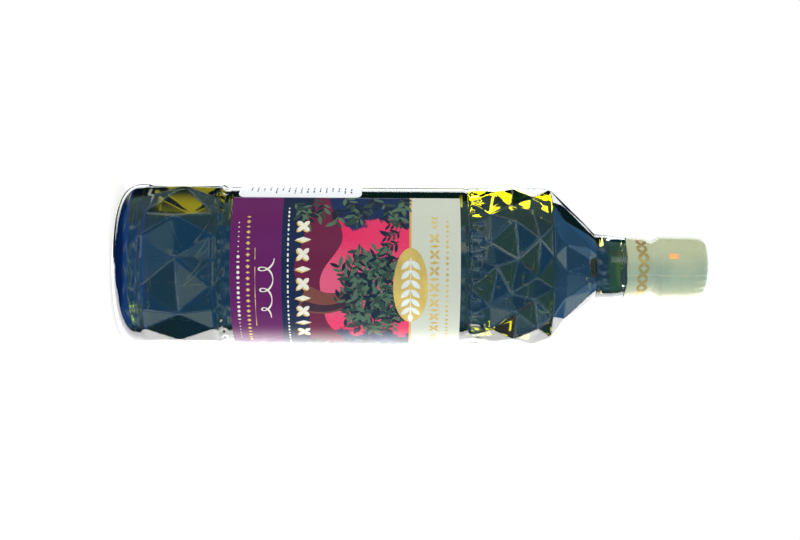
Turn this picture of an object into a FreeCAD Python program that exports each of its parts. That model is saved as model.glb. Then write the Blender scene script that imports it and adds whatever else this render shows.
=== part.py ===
import FreeCAD, Part
import math
import os

import Sketcher  # noqa: F401  registers the sketch object type

# A 500 ml olive oil bottle: heavy clear glass with two bands of moulded facets, the oil
# inside it, a paper label round the front, a white sticker on the side and a shrunk-on
# capsule over the mouth.  Frame: millimetres, +Z up, origin at the middle of the foot,
# the label's middle faces -Y.  Angles round the bottle are measured from -Y towards +X.

SIZES = [
    # alias, value, what it is
    ("panel_dia", 68.8, "diameter of the smooth panel that carries the label"),
    ("lower_step", 1.1, "how far the lower facet band and heel stand out from the panel"),
    ("upper_step", 0.5, "how far the upper facet band stands out from the panel"),
    ("heel_round", 8.5, "radius of the rounded heel"),
    ("foot_ring", 2.0, "width of the ring that the bottle stands on"),
    ("punt_depth", 4.0, "height of the hollow under the base"),
    ("groove_depth", 0.5, "depth of the ring groove at each end of the panel"),
    ("groove_width", 3.0, "height of each ring groove"),
    ("lower_band_foot", 12.5, "height where the lower facets start"),
    ("lower_band_tall", 30.0, "height of the lower facet band"),
    ("band_gap", 6.0, "from the lower facets up to the panel"),
    ("lower_count", 10, "diamonds round the lower band"),
    ("lower_relief", 0.4, "how far the middle corners stand out"),
    ("panel_tall", 101.0, "height of the smooth panel"),
    ("upper_gap", 2.5, "from the panel up to the first upper facets"),
    ("upper_row", 9.2, "height of one row of upper facets"),
    ("upper_last_row", 7.4, "height of the last row, under the shoulder"),
    ("upper_count", 16, "facet corners round each row of the upper band"),
    ("break_step", 4.7, "how far inside the panel the shoulder turns into its cone"),
    ("break_rise", 5.4, "height from the upper band to that turn"),
    ("cone_rise", 14.8, "height of the shoulder cone"),
    ("neck_root_dia", 29.8, "neck diameter at the shoulder"),
    ("neck_root_round", 2.0, "radius between shoulder and neck"),
    ("neck_dia", 26.3, "neck diameter at the capsule's edge"),
    ("mouth_dia", 24.2, "neck diameter just under the mouth"),
    ("neck_tall", 23.8, "from the shoulder up to the glass mouth"),
    ("mouth_round", 1.2, "radius of the mouth's outer edge"),
    ("corner_swing", 4.5, "degrees by which facet corners wander round the bottle"),
    ("corner_rise", 1.6, "millimetres by which facet corners wander up and down"),
    ("wall", 4.9, "glass thickness behind the panel"),
    ("floor_thick", 13.0, "height of the oil's flat bottom above the foot"),
    ("cavity_heel", 6.0, "radius of the oil's lower edge"),
    ("shoulder_wall", 3.2, "glass across the shoulder cone, measured level"),
    ("cavity_round", 4.0, "radii inside the shoulder"),
    ("bore_dia", 15.6, "bore of the neck"),
    ("headspace", 12.7, "from the oil level up to the glass mouth"),
    ("label_thick", 0.12, "thickness of the paper label"),
    ("label_margin", 2.0, "bare panel above and below the label"),
    ("label_span", 146.0, "degrees of the bottle that the label covers"),
    ("sticker_thick", 0.1, "thickness of the white sticker"),
    ("sticker_margin", 3.8, "bare panel below the sticker"),
    ("sticker_tall", 53.0, "height of the sticker"),
    ("sticker_span", 102.0, "degrees of the bottle that the sticker covers"),
    ("sticker_gap", 0.2, "degrees of bare glass between label and sticker"),
    ("sticker_round", 3.0, "radius of the sticker's corners"),
    ("capsule_thick", 0.35, "wall of the shrunk capsule"),
    ("skirt_tall", 11.5, "from the capsule's lower edge up to the glass mouth"),
    ("pinch_rise", 1.5, "from the glass mouth up to the capsule's narrowest ring"),
    ("pinch_dia", 23.6, "diameter there"),
    ("head_rise", 4.7, "from the glass mouth up to the capsule's wide head"),
    ("head_dia", 27.6, "diameter of the capsule's head"),
    ("head_top_dia", 26.8, "diameter of the head just below its rounded top"),
    ("head_round", 3.6, "radius of the head's upper edge"),
    ("crown_dia", 18.0, "diameter of the raised top disc"),
    ("crown_rise", 0.5, "height of that disc"),
    ("top_rise", 25.6, "from the glass mouth up to the top of the capsule"),
]
DERIVED = [
    # alias, formula, what it is
    ("lower_band_dia", "panel_dia + 2 * lower_step", "widest diameter"),
    ("upper_band_dia", "panel_dia + 2 * upper_step", "diameter over the upper corners"),
    ("punt_dia", "lower_band_dia - 2 * heel_round - 2 * foot_ring", "hollow under the base"),
    ("lower_band_head", "lower_band_foot + lower_band_tall", "where the lower facets end"),
    ("panel_foot", "lower_band_head + band_gap", "where the panel starts"),
    ("panel_head", "panel_foot + panel_tall", "where the panel ends"),
    ("upper_band_foot", "panel_head + upper_gap", "where the upper facets start"),
    (
        "shoulder_foot",
        "upper_band_foot + 3 * upper_row + upper_last_row",
        "where the shoulder starts",
    ),
    ("shoulder_break_dia", "panel_dia - 2 * break_step", "diameter at the shoulder's turn"),
    ("shoulder_break", "shoulder_foot + break_rise", "height of the shoulder's turn"),
    ("shoulder_head", "shoulder_break + cone_rise", "where the neck leaves the shoulder"),
    ("mouth_height", "shoulder_head + neck_tall", "height of the glass mouth"),
    ("fill_height", "mouth_height - headspace", "oil level"),
    ("cavity_dia", "panel_dia - 2 * wall", "diameter of the oil"),
    (
        "cone_slope",
        "2 * cone_rise / (shoulder_break_dia - neck_root_dia)",
        "rise of the shoulder cone for each step inwards",
    ),
    (
        "cone_start",
        "shoulder_break - cone_slope * (cavity_dia / 2 - shoulder_break_dia / 2 + shoulder_wall)",
        "where the oil's cone starts",
    ),
    ("cone_end", "cone_start + cone_slope * (cavity_dia - bore_dia) / 2", "where it ends"),
    ("label_foot", "panel_foot + label_margin", "the label's lower edge"),
    ("label_tall", "panel_tall - 2 * label_margin", "height of the label"),
    ("sticker_foot", "panel_foot + sticker_margin", "the sticker's lower edge"),
    ("capsule_foot", "mouth_height - skirt_tall", "the capsule's lower edge"),
    ("pinch_height", "mouth_height + pinch_rise", "the capsule's narrowest ring"),
    ("head_foot", "mouth_height + head_rise", "where the capsule's head starts"),
    ("total_height", "mouth_height + top_rise", "top of the capsule"),
]
FLARE = 6.0  # how far the facet envelope opens beyond a band, past the glass everywhere
BEYOND = 30.0  # how far the envelope and the cutters reach past the bottle's ends

doc = FreeCAD.newDocument("olive_oil_bottle")
sheet = doc.addObject("Spreadsheet::Sheet", "sizes")
for row, (alias, value, meaning) in enumerate(SIZES + DERIVED, start=1):
    sheet.set(f"A{row}", meaning)
    sheet.set(f"B{row}", f"={value}" if isinstance(value, str) else str(value))
    sheet.setAlias(f"B{row}", alias)
doc.recompute()
size = {alias: float(sheet.get(alias)) for alias, _, _ in SIZES + DERIVED}


def sum_of(*terms):
    """A length as (number, expression) from (factor, alias) terms; an alias of None is a bare number."""
    number = 0.0
    texts = []
    for factor, alias in terms:
        number += factor * (1.0 if alias is None else size[alias])
        texts.append(f"{factor}" if alias is None else f"{factor} * sizes.{alias}")
    return number, " + ".join(texts)


def half(alias, *more):
    """Half of a diameter, with further terms added."""
    return sum_of((0.5, alias), *more)


def at(alias, *more):
    """One size, with further terms added."""
    return sum_of((1, alias), *more)


ZERO = (0.0, None)  # on the axis, or level with the foot


def plane_of(body, role):
    """One of a body's own origin planes."""
    for feature in body.Origin.OriginFeatures:
        if feature.Role == role:
            return feature
    raise ValueError(role)


def bind(sketch, constraint, expression):
    """Adds a distance constraint and ties it to the spreadsheet."""
    index = sketch.addConstraint(constraint)
    sketch.setExpression(f"Constraints[{index}]", expression)


def place_corner(sketch, line, point):
    """Ties the start of a sketch line to a point given as (across, up) lengths."""
    for (number, expression), kind, axis in zip(point, ("DistanceX", "DistanceY"), (-2, -1)):
        if expression is None:
            sketch.addConstraint(Sketcher.Constraint("PointOnObject", line, 1, axis))
        else:
            bind(sketch, Sketcher.Constraint(kind, -1, 1, line, 1, number), expression)


def outline(body, name, points, role="XZ_Plane"):
    """A closed sketch of straight lines through points, each tied to the spreadsheet."""
    sketch = body.newObject("Sketcher::SketchObject", name)
    sketch.AttachmentSupport = [(plane_of(body, role), "")]
    sketch.MapMode = "FlatFace"
    corners = [FreeCAD.Vector(across[0], up[0], 0) for across, up in points]
    for start, end in zip(corners, corners[1:] + corners[:1]):
        sketch.addGeometry(Part.LineSegment(start, end), False)
    count = len(corners)
    for line in range(count):
        nxt = (line + 1) % count
        sketch.addConstraint(Sketcher.Constraint("Coincident", line, 2, nxt, 1))
    for line, point in enumerate(points):
        place_corner(sketch, line, point)
    return sketch


def turned(name, points):
    """A PartDesign body made by revolving an outline about Z."""
    body = doc.addObject("PartDesign::Body", name)
    sketch = outline(body, f"{name}_outline", points)
    turn = body.newObject("PartDesign::Revolution", f"{name}_turn")
    turn.Profile = sketch
    turn.ReferenceAxis = (sketch, ["V_Axis"])
    turn.Angle = 360
    body.Tip = turn
    doc.recompute()
    return body, turn


def ring_edge(feature, radius, height):
    """The name of the circular edge nearest a radius and a height."""
    best = None
    for number, edge in enumerate(feature.Shape.Edges, start=1):
        curve = edge.Curve
        if curve.TypeId != "Part::GeomCircle" or abs(curve.Axis.z) < 0.99:
            continue
        gap = math.hypot(curve.Radius - radius, curve.Center.z - height)
        if best is None or gap < best[0]:
            best = (gap, f"Edge{number}")
    if best is None or best[0] > 0.05:
        raise ValueError(f"no ring edge at radius {radius}, height {height}")
    return best[1]


def rounded(body, feature, name, alias, corner):
    """Rounds one ring edge of a turned body with a radius from the spreadsheet."""
    (radius, _), (height, _) = corner
    fillet = body.newObject("PartDesign::Fillet", name)
    fillet.Base = (feature, [ring_edge(feature, radius, height)])
    fillet.Radius = size[alias]
    fillet.setExpression("Radius", f"sizes.{alias}")
    body.Tip = fillet
    doc.recompute()
    return fillet


# ---------------------------------------------------------------- glass, turned blank

heel_corner = (half("lower_band_dia"), ZERO)
root_corner = (half("neck_root_dia"), at("shoulder_head"))
mouth_corner = (half("mouth_dia"), at("mouth_height"))
blank_points = [
    (ZERO, ZERO),
    heel_corner,
    (half("lower_band_dia"), at("panel_foot", (-1, "groove_width"), (-1, "groove_depth"))),
    (half("panel_dia", (-1, "groove_depth")), at("panel_foot", (-0.5, "groove_width"))),
    (half("panel_dia"), at("panel_foot")),
    (half("panel_dia"), at("panel_head")),
    (half("panel_dia", (-1, "groove_depth")), at("panel_head", (0.5, "groove_width"))),
    (half("upper_band_dia"), at("panel_head", (1, "groove_width"))),
    (half("upper_band_dia"), at("shoulder_foot")),
    (half("shoulder_break_dia", (0.5, None)), at("shoulder_break", (0.5, None))),
    root_corner,
    (half("neck_dia"), at("capsule_foot")),
    mouth_corner,
    (ZERO, at("mouth_height")),
]
blank, blank_turn = turned("glass_blank", blank_points)
blank_heel = rounded(blank, blank_turn, "blank_heel", "heel_round", heel_corner)
blank_root = rounded(blank, blank_heel, "blank_neck_root", "neck_root_round", root_corner)
rounded(blank, blank_root, "blank_mouth", "mouth_round", mouth_corner)


# ------------------------------------------------------------ glass, facet envelope


def ring(count, offset, radius, height, row, wander=0.0):
    """Corners of one ring, as (angle, radius, height).  Each wanders by a formula in its place."""
    step = 360.0 / count
    corners = []
    for place in range(count):
        swing = wander * size["corner_swing"] * math.sin(2.4 * place + 1.7 * row)
        rise = wander * size["corner_rise"] * math.sin(1.9 * place + 0.8 * row + 1.0)
        corners.append(((place + offset) * step + swing, radius, height + rise))
    return corners


def corner_point(corner):
    """A ring corner as a point.  Angle 0 faces -Y and grows towards +X."""
    angle, radius, height = corner
    turn = math.radians(angle)
    return FreeCAD.Vector(radius * math.sin(turn), -radius * math.cos(turn), height)


def strip(lower, upper):
    """Triangles that join two rings: each step advances the ring whose next corner comes first."""
    triangles = []
    low, high = 0, 0
    while low < len(lower) or high < len(upper):
        next_low = lower[(low + 1) % len(lower)][0] + 360.0 * ((low + 1) // len(lower))
        next_high = upper[(high + 1) % len(upper)][0] + 360.0 * ((high + 1) // len(upper))
        here = (lower[low % len(lower)], upper[high % len(upper)])
        if high >= len(upper) or (low < len(lower) and next_low <= next_high):
            triangles.append((here[0], lower[(low + 1) % len(lower)], here[1]))
            low += 1
        else:
            triangles.append((here[0], upper[(high + 1) % len(upper)], here[1]))
            high += 1
    return triangles


def facet_rings():
    """All rings of the envelope from below the foot to above the mouth."""
    lower_radius = size["lower_band_dia"] / 2 - size["lower_relief"]
    upper_radius = size["upper_band_dia"] / 2
    few, many = int(size["lower_count"]), 2 * int(size["lower_count"])
    sides = int(size["upper_count"])
    wide = upper_radius + 2 * FLARE
    foot, head = size["lower_band_foot"], size["lower_band_head"]
    start, row = size["upper_band_foot"], size["upper_row"]
    neck_radius = size["neck_root_dia"] / 2 / math.cos(math.pi / sides) + 0.2
    return [
        ring(many, 0.0, wide, -BEYOND, 0),
        ring(many, 0.0, wide, foot - FLARE, 0),
        ring(many, 0.0, lower_radius, foot, 0),
        ring(few, 0.5, size["lower_band_dia"] / 2, (foot + head) / 2, 1, 0.6),
        ring(many, 0.0, lower_radius, head, 2),
        ring(many, 0.0, wide, head + FLARE, 2),
        ring(sides, 0.0, wide, start - FLARE, 3),
        ring(sides, 0.0, upper_radius, start, 3),
        ring(sides, 0.5, upper_radius, start + row, 4, 1.0),
        ring(sides, 0.0, upper_radius, start + 2 * row, 5, 1.0),
        ring(sides, 0.5, upper_radius, start + 3 * row, 6, 1.0),
        ring(sides, 0.0, upper_radius, size["shoulder_foot"], 7),
        ring(sides, 0.5, size["shoulder_break_dia"] / 2, size["shoulder_break"], 8),
        ring(sides, 0.0, neck_radius, size["shoulder_head"], 9),
        ring(sides, 0.0, wide, size["shoulder_head"] + FLARE, 9),
        ring(sides, 0.0, wide, size["mouth_height"] + BEYOND, 9),
    ]


def envelope_solid():
    """The closed solid of flat facets that the turned blank is trimmed by."""
    rings = facet_rings()
    faces = []
    for lower, upper in zip(rings, rings[1:]):
        for triangle in strip(lower, upper):
            points = [corner_point(corner) for corner in triangle]
            faces.append(Part.Face(Part.makePolygon(points + points[:1])))
    for end in (rings[0], rings[-1]):
        points = [corner_point(corner) for corner in end]
        faces.append(Part.Face(Part.makePolygon(points + points[:1])))
    shell = Part.Shell(faces)
    shell.sewShape()
    solid = Part.Solid(shell)
    if solid.Volume < 0:
        solid.reverse()
    return solid


envelope = doc.addObject("Part::Feature", "facet_envelope")
envelope.Shape = envelope_solid()

faceted = doc.addObject("Part::MultiCommon", "faceted_blank")
faceted.Shapes = [blank, envelope]
faceted.Refine = False


# ---------------------------------------------------------------- cavity and punt

cavity_heel_corner = (half("cavity_dia"), at("floor_thick"))
cavity_shoulder_corner = (half("cavity_dia"), at("cone_start"))
cavity_neck_corner = (half("bore_dia"), at("cone_end"))


def cavity_body(name, top):
    """The inside of the bottle, from its floor up to a given height."""
    points = [
        (ZERO, at("floor_thick")),
        cavity_heel_corner,
        cavity_shoulder_corner,
        cavity_neck_corner,
        (half("bore_dia"), top),
        (ZERO, top),
    ]
    body, feature = turned(name, points)
    feature = rounded(body, feature, f"{name}_heel", "cavity_heel", cavity_heel_corner)
    feature = rounded(
        body, feature, f"{name}_shoulder", "cavity_round", cavity_shoulder_corner
    )
    rounded(body, feature, f"{name}_neck", "cavity_round", cavity_neck_corner)
    return body


cavity = cavity_body("cavity", at("mouth_height", (5, None)))
oil = cavity_body("olive_oil", at("fill_height"))
oil.Label = "olive_oil"

punt = doc.addObject("Part::Feature", "punt")
punt_radius = size["punt_dia"] / 2
punt_sphere = (punt_radius**2 + size["punt_depth"] ** 2) / (2 * size["punt_depth"])
punt.Shape = Part.makeSphere(
    punt_sphere, FreeCAD.Vector(0, 0, size["punt_depth"] - punt_sphere)
)

hollowed = doc.addObject("Part::Cut", "hollowed")
hollowed.Base = faceted
hollowed.Tool = cavity
hollowed.Refine = False
glass = doc.addObject("Part::Cut", "glass_bottle")
glass.Base = hollowed
glass.Tool = punt
glass.Refine = False
glass.Label = "glass_bottle"


# ---------------------------------------------------------------- label and sticker


def wrapped_sheet(name, thick, foot, tall, first, last):
    """A thin sheet on the panel from one angle to another, padded up from its section."""
    body = doc.addObject("PartDesign::Body", name)
    sketch = body.newObject("Sketcher::SketchObject", f"{name}_section")
    sketch.AttachmentSupport = [(plane_of(body, "XY_Plane"), "")]
    sketch.MapMode = "FlatFace"
    sketch.AttachmentOffset.Base.z = size[foot]
    sketch.setExpression("AttachmentOffset.Base.z", f"sizes.{foot}")
    inner = size["panel_dia"] / 2
    outer = inner + size[thick]
    # sketch angles run from +X, the bottle's from -Y
    begin, end = math.radians(first - 90), math.radians(last - 90)
    centre, up = FreeCAD.Vector(0, 0, 0), FreeCAD.Vector(0, 0, 1)
    for radius in (inner, outer):
        sketch.addGeometry(Part.ArcOfCircle(Part.Circle(centre, up, radius), begin, end), False)
    for angle in (begin, end):
        way = FreeCAD.Vector(math.cos(angle), math.sin(angle), 0)
        sketch.addGeometry(Part.LineSegment(way * inner, way * outer), False)
    for arc in (0, 1):
        sketch.addConstraint(Sketcher.Constraint("Coincident", arc, 3, -1, 1))
        for line, tip in ((2, 1), (3, 2)):
            sketch.addConstraint(Sketcher.Constraint("Coincident", arc, tip, line, 1 + arc))
    bind(sketch, Sketcher.Constraint("Radius", 0, inner), "sizes.panel_dia / 2")
    bind(
        sketch, Sketcher.Constraint("Radius", 1, outer), f"sizes.panel_dia / 2 + sizes.{thick}"
    )
    pad = body.newObject("PartDesign::Pad", f"{name}_pad")
    pad.Profile = sketch
    pad.Length = size[tall]
    pad.setExpression("Length", f"sizes.{tall}")
    body.Tip = pad
    body.Label = name
    return body


label_edge = size["label_span"] / 2
label = wrapped_sheet(
    "front_label", "label_thick", "label_foot", "label_tall", -label_edge, label_edge
)
sticker_last = -label_edge - size["sticker_gap"]
sticker_sheet = wrapped_sheet(
    "sticker_sheet",
    "sticker_thick",
    "sticker_foot",
    "sticker_tall",
    sticker_last - size["sticker_span"],
    sticker_last,
)
sticker_sheet.Label = "sticker_sheet"


def corner_cutter(angle, inward, height, upward):
    """What a rounded corner leaves off at one corner of the sticker, cut along the radius."""
    round_by = size["sticker_round"]
    reach = size["panel_dia"] / 2 + 2
    depth = 4.0
    block = Part.makeBox(
        round_by + 1,
        depth,
        round_by + 1,
        FreeCAD.Vector(-1 if inward > 0 else -round_by, -reach, -1 if upward > 0 else -round_by),
    )
    drum = Part.makeCylinder(
        round_by,
        depth,
        FreeCAD.Vector(inward * round_by, -reach, upward * round_by),
        FreeCAD.Vector(0, 1, 0),
    )
    cutter = block.cut(drum)
    cutter.rotate(FreeCAD.Vector(0, 0, 0), FreeCAD.Vector(0, 0, 1), angle)
    cutter.translate(FreeCAD.Vector(0, 0, height))
    return cutter


sticker_first = sticker_last - size["sticker_span"]
sticker_top = size["sticker_foot"] + size["sticker_tall"]
corner_cutters = doc.addObject("Part::Feature", "corner_cutters")
corner_cutters.Shape = Part.makeCompound(
    [
        corner_cutter(angle, inward, height, upward)
        for angle, inward in ((sticker_first, 1), (sticker_last, -1))
        for height, upward in ((size["sticker_foot"], 1), (sticker_top, -1))
    ]
)
sticker = doc.addObject("Part::Cut", "side_sticker")
sticker.Base = sticker_sheet
sticker.Tool = corner_cutters
sticker.Refine = False
sticker.Label = "side_sticker"


# ---------------------------------------------------------------- capsule

head_corner = (half("head_top_dia"), at("total_height", (-1, "crown_rise")))
capsule_points = [
    (ZERO, at("capsule_foot")),
    (half("neck_dia", (1, "capsule_thick")), at("capsule_foot")),
    (half("mouth_dia", (1, "capsule_thick")), at("mouth_height", (-1, "mouth_round"))),
    (half("pinch_dia"), at("pinch_height")),
    (half("head_dia"), at("head_foot")),
    head_corner,
    (half("crown_dia"), at("total_height", (-1, "crown_rise"))),
    (half("crown_dia", (-1, "crown_rise")), at("total_height")),
    (ZERO, at("total_height")),
]
capsule_outer, capsule_turn = turned("capsule_outer", capsule_points)
rounded(capsule_outer, capsule_turn, "capsule_top", "head_round", head_corner)
capsule = doc.addObject("Part::Cut", "capsule")
capsule.Base = capsule_outer
capsule.Tool = blank
capsule.Refine = False
capsule.Label = "capsule"

doc.recompute()


# ---------------------------------------------------------------- checks and export

for thing in doc.Objects:
    if "Invalid" in thing.State or "Error" in thing.State:
        raise RuntimeError(f"{thing.Name} failed: {thing.State}")

os.makedirs("parts", exist_ok=True)
for piece in (glass, oil, label, sticker, capsule):
    shape = piece.Shape
    if shape.isNull() or not shape.isValid() or shape.Volume <= 0 or not shape.Solids:
        raise RuntimeError(f"{piece.Label} has no valid solid")
    shape.exportStep(f"parts/{piece.Label}.step")
    print(f"{piece.Label}: {shape.Volume / 1000:.2f} cm3, {len(shape.Solids)} solid")
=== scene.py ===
"""Looks for the olive oil bottle: clear faceted glass, oil, printed label, sticker and capsule.

Lengths are millimetres until a mesh is made. Angles round the bottle are degrees from -Y
towards +X, so angle 0 is the middle of the front label.
"""

import logging
import math
from dataclasses import dataclass
from enum import Enum
from typing import Callable, Sequence

import bpy
import numpy as np
from mathutils import Matrix, Vector


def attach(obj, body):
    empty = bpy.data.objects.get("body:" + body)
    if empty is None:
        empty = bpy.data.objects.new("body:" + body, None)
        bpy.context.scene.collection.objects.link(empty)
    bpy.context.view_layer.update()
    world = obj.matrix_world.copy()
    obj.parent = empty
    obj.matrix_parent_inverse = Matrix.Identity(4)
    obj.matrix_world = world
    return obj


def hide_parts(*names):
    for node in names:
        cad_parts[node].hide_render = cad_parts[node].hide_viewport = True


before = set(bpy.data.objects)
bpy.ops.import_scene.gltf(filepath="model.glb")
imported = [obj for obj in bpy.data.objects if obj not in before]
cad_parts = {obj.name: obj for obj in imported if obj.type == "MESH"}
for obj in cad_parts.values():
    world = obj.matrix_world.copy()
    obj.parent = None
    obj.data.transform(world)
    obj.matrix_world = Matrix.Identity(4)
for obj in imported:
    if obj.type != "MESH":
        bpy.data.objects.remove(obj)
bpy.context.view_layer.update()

# A millimetre in metres. The other sizes are millimetres: about the shortest piece of an arc,
# the widest ring in a printed shape, and the height of one printed layer over the next.
MM = 0.001
ARC_PIECE = 0.2
RING_STEP = 1.1
LAYER_STEP = 0.012
Array = np.ndarray
Colour = tuple[float, float, float]
Span = tuple[float, float]
log = logging.getLogger("bottle")


def srgb(red: int, green: int, blue: int) -> Colour:
    """A colour given as 0-255 screen values, in linear light."""
    values = np.array((red, green, blue)) / 255
    linear = np.where(values <= 0.04045, values / 12.92, ((values + 0.055) / 1.055) ** 2.4)
    return tuple(float(x) for x in linear)


def scaled(colour: Colour, times: float) -> Colour:
    """A colour made so many times as bright, up to white."""
    return tuple(min(1, times * c) for c in colour)


# ------------------------------------------------------------------ sizes


@dataclass(frozen=True)
class BottleSizes:
    """Sizes of the glass and the oil, in millimetres."""

    lower_r: float = 35.5
    panel_r: float = 34.4
    upper_r: float = 34.9
    heel_round: float = 8.5
    punt_r: float = 25.0
    punt_depth: float = 4.0
    lower_foot: float = 12.5
    lower_mid: float = 27.5
    lower_head: float = 42.5
    panel_foot: float = 48.5
    panel_head: float = 149.5
    upper_foot: float = 152.0
    upper_row: float = 9.2
    shoulder_foot: float = 187.0
    break_r: float = 29.7
    break_z: float = 192.4
    shoulder_head: float = 207.2
    root_r: float = 14.9
    neck_r: float = 13.15
    neck_z: float = 219.5
    mouth_r: float = 12.1
    mouth_z: float = 231.0
    cavity_r: float = 29.5
    floor_z: float = 13.0
    shoulder_wall: float = 3.2
    inside_round: float = 4.0
    bore_r: float = 7.8
    fill_z: float = 218.3
    groove: float = 0.3
    lower_count: int = 10
    upper_count: int = 16


@dataclass(frozen=True)
class LabelSizes:
    """Sizes of the front label and the side sticker, in millimetres and degrees."""

    radius: float = 34.52
    foot: float = 50.5
    tall: float = 97.0
    half_angle: float = 73.0
    thick: float = 0.11
    sticker_foot: float = 52.3
    sticker_tall: float = 53.0
    sticker_angle: float = 102.0
    sticker_round: float = 3.0
    sticker_gap: float = 0.2
    purple_top: float = 21.6
    gold_foot: float = 75.4
    gold_tall: float = 0.9


@dataclass(frozen=True)
class CapsuleSizes:
    """Sizes of the shrunk capsule, in millimetres."""

    foot: float = 219.9
    pinch_z: float = 232.5
    pinch_r: float = 11.75
    head_foot: float = 235.9
    head_r: float = 13.75
    head_top_r: float = 13.35
    head_round: float = 3.8
    crown_r: float = 8.8
    top: float = 256.5
    film: float = 0.3


# ------------------------------------------------------------------ surfaces


def rounded_path(corners: Sequence[tuple[float, float, float]], steps: int = 8) -> Array:
    """Straight runs between corners, each corner turned by an arc tangent to both runs.

    Args:
        corners: Radius, height and rounding of each corner.
        steps: Most pieces in an arc; a short arc has fewer, of about ARC_PIECE each.

    Returns:
        The path as rows of radius and height.
    """
    points = np.array([c[:2] for c in corners], float)
    path = [points[0]]
    for before, here, after, corner in zip(points, points[1:], points[2:], corners[1:-1]):
        into, out = before - here, after - here
        into, out = into / np.linalg.norm(into), out / np.linalg.norm(out)
        half = math.acos(float(np.clip(into @ out, -1, 1))) / 2
        if corner[2] <= 0 or half > 1.56:
            path.append(here)
            continue
        middle = here + (into + out) / np.linalg.norm(into + out) * corner[2] / math.sin(half)
        start = here + into * corner[2] / math.tan(half) - middle
        end = here + out * corner[2] / math.tan(half) - middle
        sweep = math.atan2(start[0] * end[1] - start[1] * end[0], float(start @ end))
        pieces = max(2, min(steps, math.ceil(abs(sweep) * corner[2] / ARC_PIECE)))
        turn = np.linspace(0, sweep, pieces + 1)
        along = np.stack([np.cos(turn), np.sin(turn)])
        across = np.array([-start[1], start[0]])
        path.extend(middle + np.outer(along[0], start) + np.outer(along[1], across))
    path.append(points[-1])
    return np.array(path)


def densified(path: Array, step: float, band: tuple[float, float] = (-1e9, 1e9)) -> Array:
    """The path with points added so that no run inside a band of heights is longer than step."""
    pieces = [path[:1]]
    for start, end in zip(path, path[1:]):
        inside = band[0] <= min(start[1], end[1]) and max(start[1], end[1]) <= band[1]
        count = max(1, math.ceil(np.linalg.norm(end - start) / step)) if inside else 1
        share = np.linspace(0, 1, count + 1)[1:, None]
        pieces.append(start + (end - start) * share)
    return np.concatenate(pieces)


def around(columns: int) -> Array:
    """Evenly spaced angles round the bottle, in degrees."""
    return np.arange(columns) * 360.0 / columns


def wrapped(angle: Array, radius: Array, height: Array) -> Array:
    """Points at angles round the bottle, radii and heights, in metres."""
    turn = np.radians(angle)
    return np.stack(
        np.broadcast_arrays(radius * np.sin(turn), -radius * np.cos(turn), height), -1
    ) * MM


def lay_mesh(name: str, points: Array, faces: Array, uv: Array | None = None) -> bpy.types.Object:
    """Makes a smooth mesh object.

    Args:
        name: Name of the object.
        points: Vertices in metres, one row each.
        faces: Vertex numbers, one row a face; -1 in the last column marks a triangle.
        uv: Texture place of each vertex.

    Returns:
        The object, linked to the scene.
    """
    mesh = bpy.data.meshes.new(name)
    rows = [row[:3] if len(row) == 4 and row[3] < 0 else row for row in faces.tolist()]
    mesh.from_pydata(points.reshape(-1, 3).tolist(), [], rows)
    mesh.polygons.foreach_set("use_smooth", np.ones(len(mesh.polygons), bool))
    if uv is not None:
        loops = np.empty(len(mesh.loops), np.int32)
        mesh.loops.foreach_get("vertex_index", loops)
        layer = mesh.uv_layers.new(name="UVMap")
        layer.data.foreach_set("uv", uv.reshape(-1, 2)[loops].ravel().astype(np.float32))
    mesh.update()
    thing = bpy.data.objects.new(name, mesh)
    bpy.context.scene.collection.objects.link(thing)
    return thing


def grid_faces(rows: int, columns: int, wrap: bool) -> Array:
    """Quads of a grid of vertices numbered row by row; wrap joins the last column to the first."""
    row = np.arange(rows - 1)[:, None] * columns
    column = np.arange(columns if wrap else columns - 1)[None, :]
    nxt = (column + 1) % columns
    quads = (row + column, row + nxt, row + columns + nxt, row + columns + column)
    return np.stack(quads, -1).reshape(-1, 4)


def swept(path: Array, columns: int) -> tuple[Array, Array]:
    """Radius and height of a path's points, one row a point and one column an angle."""
    shape = np.ones((1, columns))
    return path[:, :1] * shape, path[:, 1:] * shape


def lathe(name: str, radius: Array, height: Array) -> bpy.types.Object:
    """A closed surface of rings, with a pole at each end.

    Radius and height have one row a ring and one column an angle; the first and last rows have
    no radius and become one vertex each. Rings run from the outside foot up, so faces look out.
    """
    rows, columns = radius.shape
    angle = around(columns)[None, :]
    points = wrapped(angle, radius, height).reshape(-1, 3)
    inner = np.arange(columns, (rows - 1) * columns)
    faces = grid_faces(rows - 2, columns, True)
    first, last = len(inner), len(inner) + 1
    here, nxt = np.arange(columns), (np.arange(columns) + 1) % columns
    none = np.full(columns, -1)
    end = (rows - 3) * columns
    fans = (
        np.stack([nxt, here, np.full(columns, first), none], -1),
        np.stack([here + end, nxt + end, np.full(columns, last), none], -1),
    )
    run = np.hypot(np.diff(radius.mean(1)), np.diff(height.mean(1)))
    along = np.concatenate([[0], np.cumsum(run)]) / 100
    uv = np.stack(np.broadcast_arrays(angle / 360, along[:, None]), -1).reshape(-1, 2)
    keep = np.concatenate([inner, [0, (rows - 1) * columns]])
    return lay_mesh(name, points[keep], np.concatenate([faces, *fans]), uv[keep])


def facing(piece: bpy.types.Object) -> tuple[Array, Array]:
    """How far each face's normal points away from the axis, and the height of its middle."""
    both = np.empty((2, 3 * len(piece.data.polygons)), np.float32)
    piece.data.polygons.foreach_get("center", both[0])
    piece.data.polygons.foreach_get("normal", both[1])
    centre, normal = both.reshape(2, -1, 3)
    return (centre[:, :2] * normal[:, :2]).sum(1), centre[:, 2] / MM


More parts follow.
